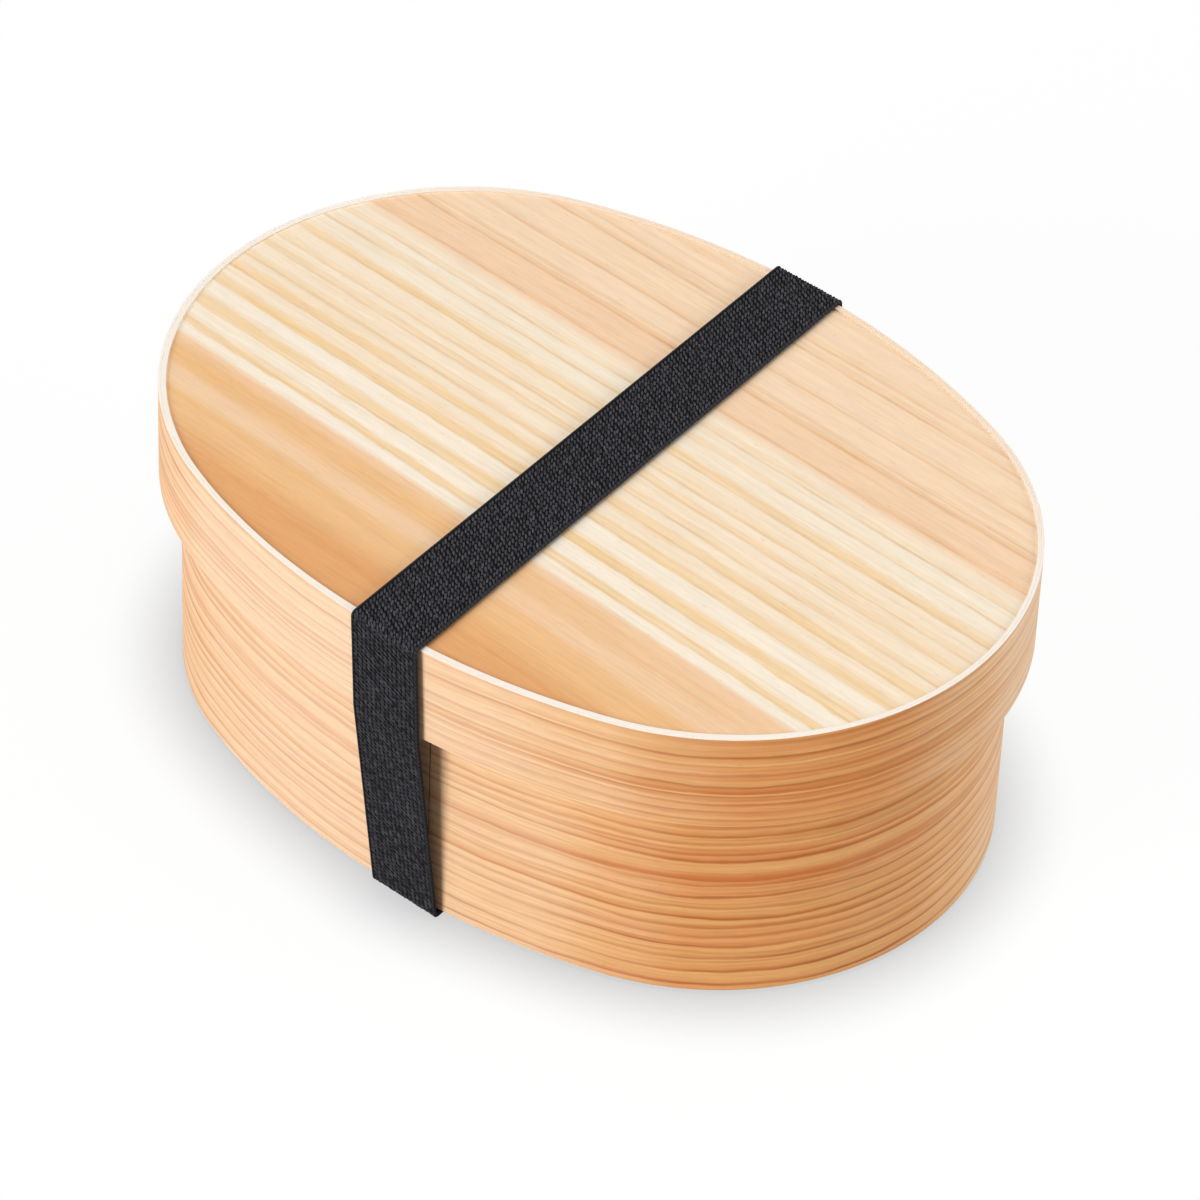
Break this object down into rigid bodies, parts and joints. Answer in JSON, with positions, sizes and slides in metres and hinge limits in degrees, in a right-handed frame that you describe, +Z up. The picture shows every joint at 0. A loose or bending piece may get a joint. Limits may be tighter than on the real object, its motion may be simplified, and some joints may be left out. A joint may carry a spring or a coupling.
{
  "type": "bentwood lunch box",
  "caption": "Oval bentwood lunch box with an overlapping hooped lid, a loose divider inside and a black elastic band that holds the lid on.",
  "frame": {"origin": "middle of the closed box's footprint, at the surface it stands on, which is the underside of the band", "axes": "+X along the box's length, +Y towards the back long side where the band is sewn, +Z up"},
  "size_m": [0.18, 0.1316, 0.068],
  "materials": {
    "cedar_veneer": "thin cedar face, grain running round the hoop, satin food-safe lacquer",
    "pale_ply": "pale near-white bent ply, sanded edge",
    "lining_wood": "bent cedar lining, grain running round the hoop, satin",
    "lid_board_wood": "striped cedar board, pale sapwood and brown heartwood along the length, satin",
    "base_board_wood": "plain cedar board, satin",
    "divider_wood": "plain cedar board, satin",
    "band_elastic": "charcoal-black knitted elastic, matt",
    "band_thread": "black sewing thread, matt"
  },
  "bodies": {
    "base": {"base_board": "base_board_wood", "base_hoop": "pale_ply", "base_lining": "lining_wood", "base_veneer": "cedar_veneer"},
    "lid": {"lid_board": "lid_board_wood", "lid_hoop": "pale_ply", "lid_lining": "lining_wood", "lid_veneer": "cedar_veneer"},
    "divider": {"divider": "divider_wood"},
    "band": {"band_under_base": "band_elastic", "band_stitching": "band_thread"},
    "band_top": {"band_over_lid": "band_elastic"}
  },
  "joints": [
    {"name": "lid_lift", "type": "slide", "parent": "base", "child": "lid", "axis": [0, 0, 1], "range_m": [0, 0.04]},
    {"name": "band_slip", "type": "slide", "parent": "base", "child": "band", "axis": [1, 0, 0], "range_m": [0, 0.105]},
    {"name": "band_stretch", "type": "slide", "parent": "band", "child": "band_top", "axis": [0, 0, 1], "range_m": [0, 0.04]},
    {"name": "divider_slide", "type": "slide", "parent": "base", "child": "divider", "axis": [1, 0, 0], "range_m": [-0.03, 0]}
  ],
  "couplings": [
    {"joint": "band_stretch", "follows": "lid_lift", "ratio": 1}
  ]
}
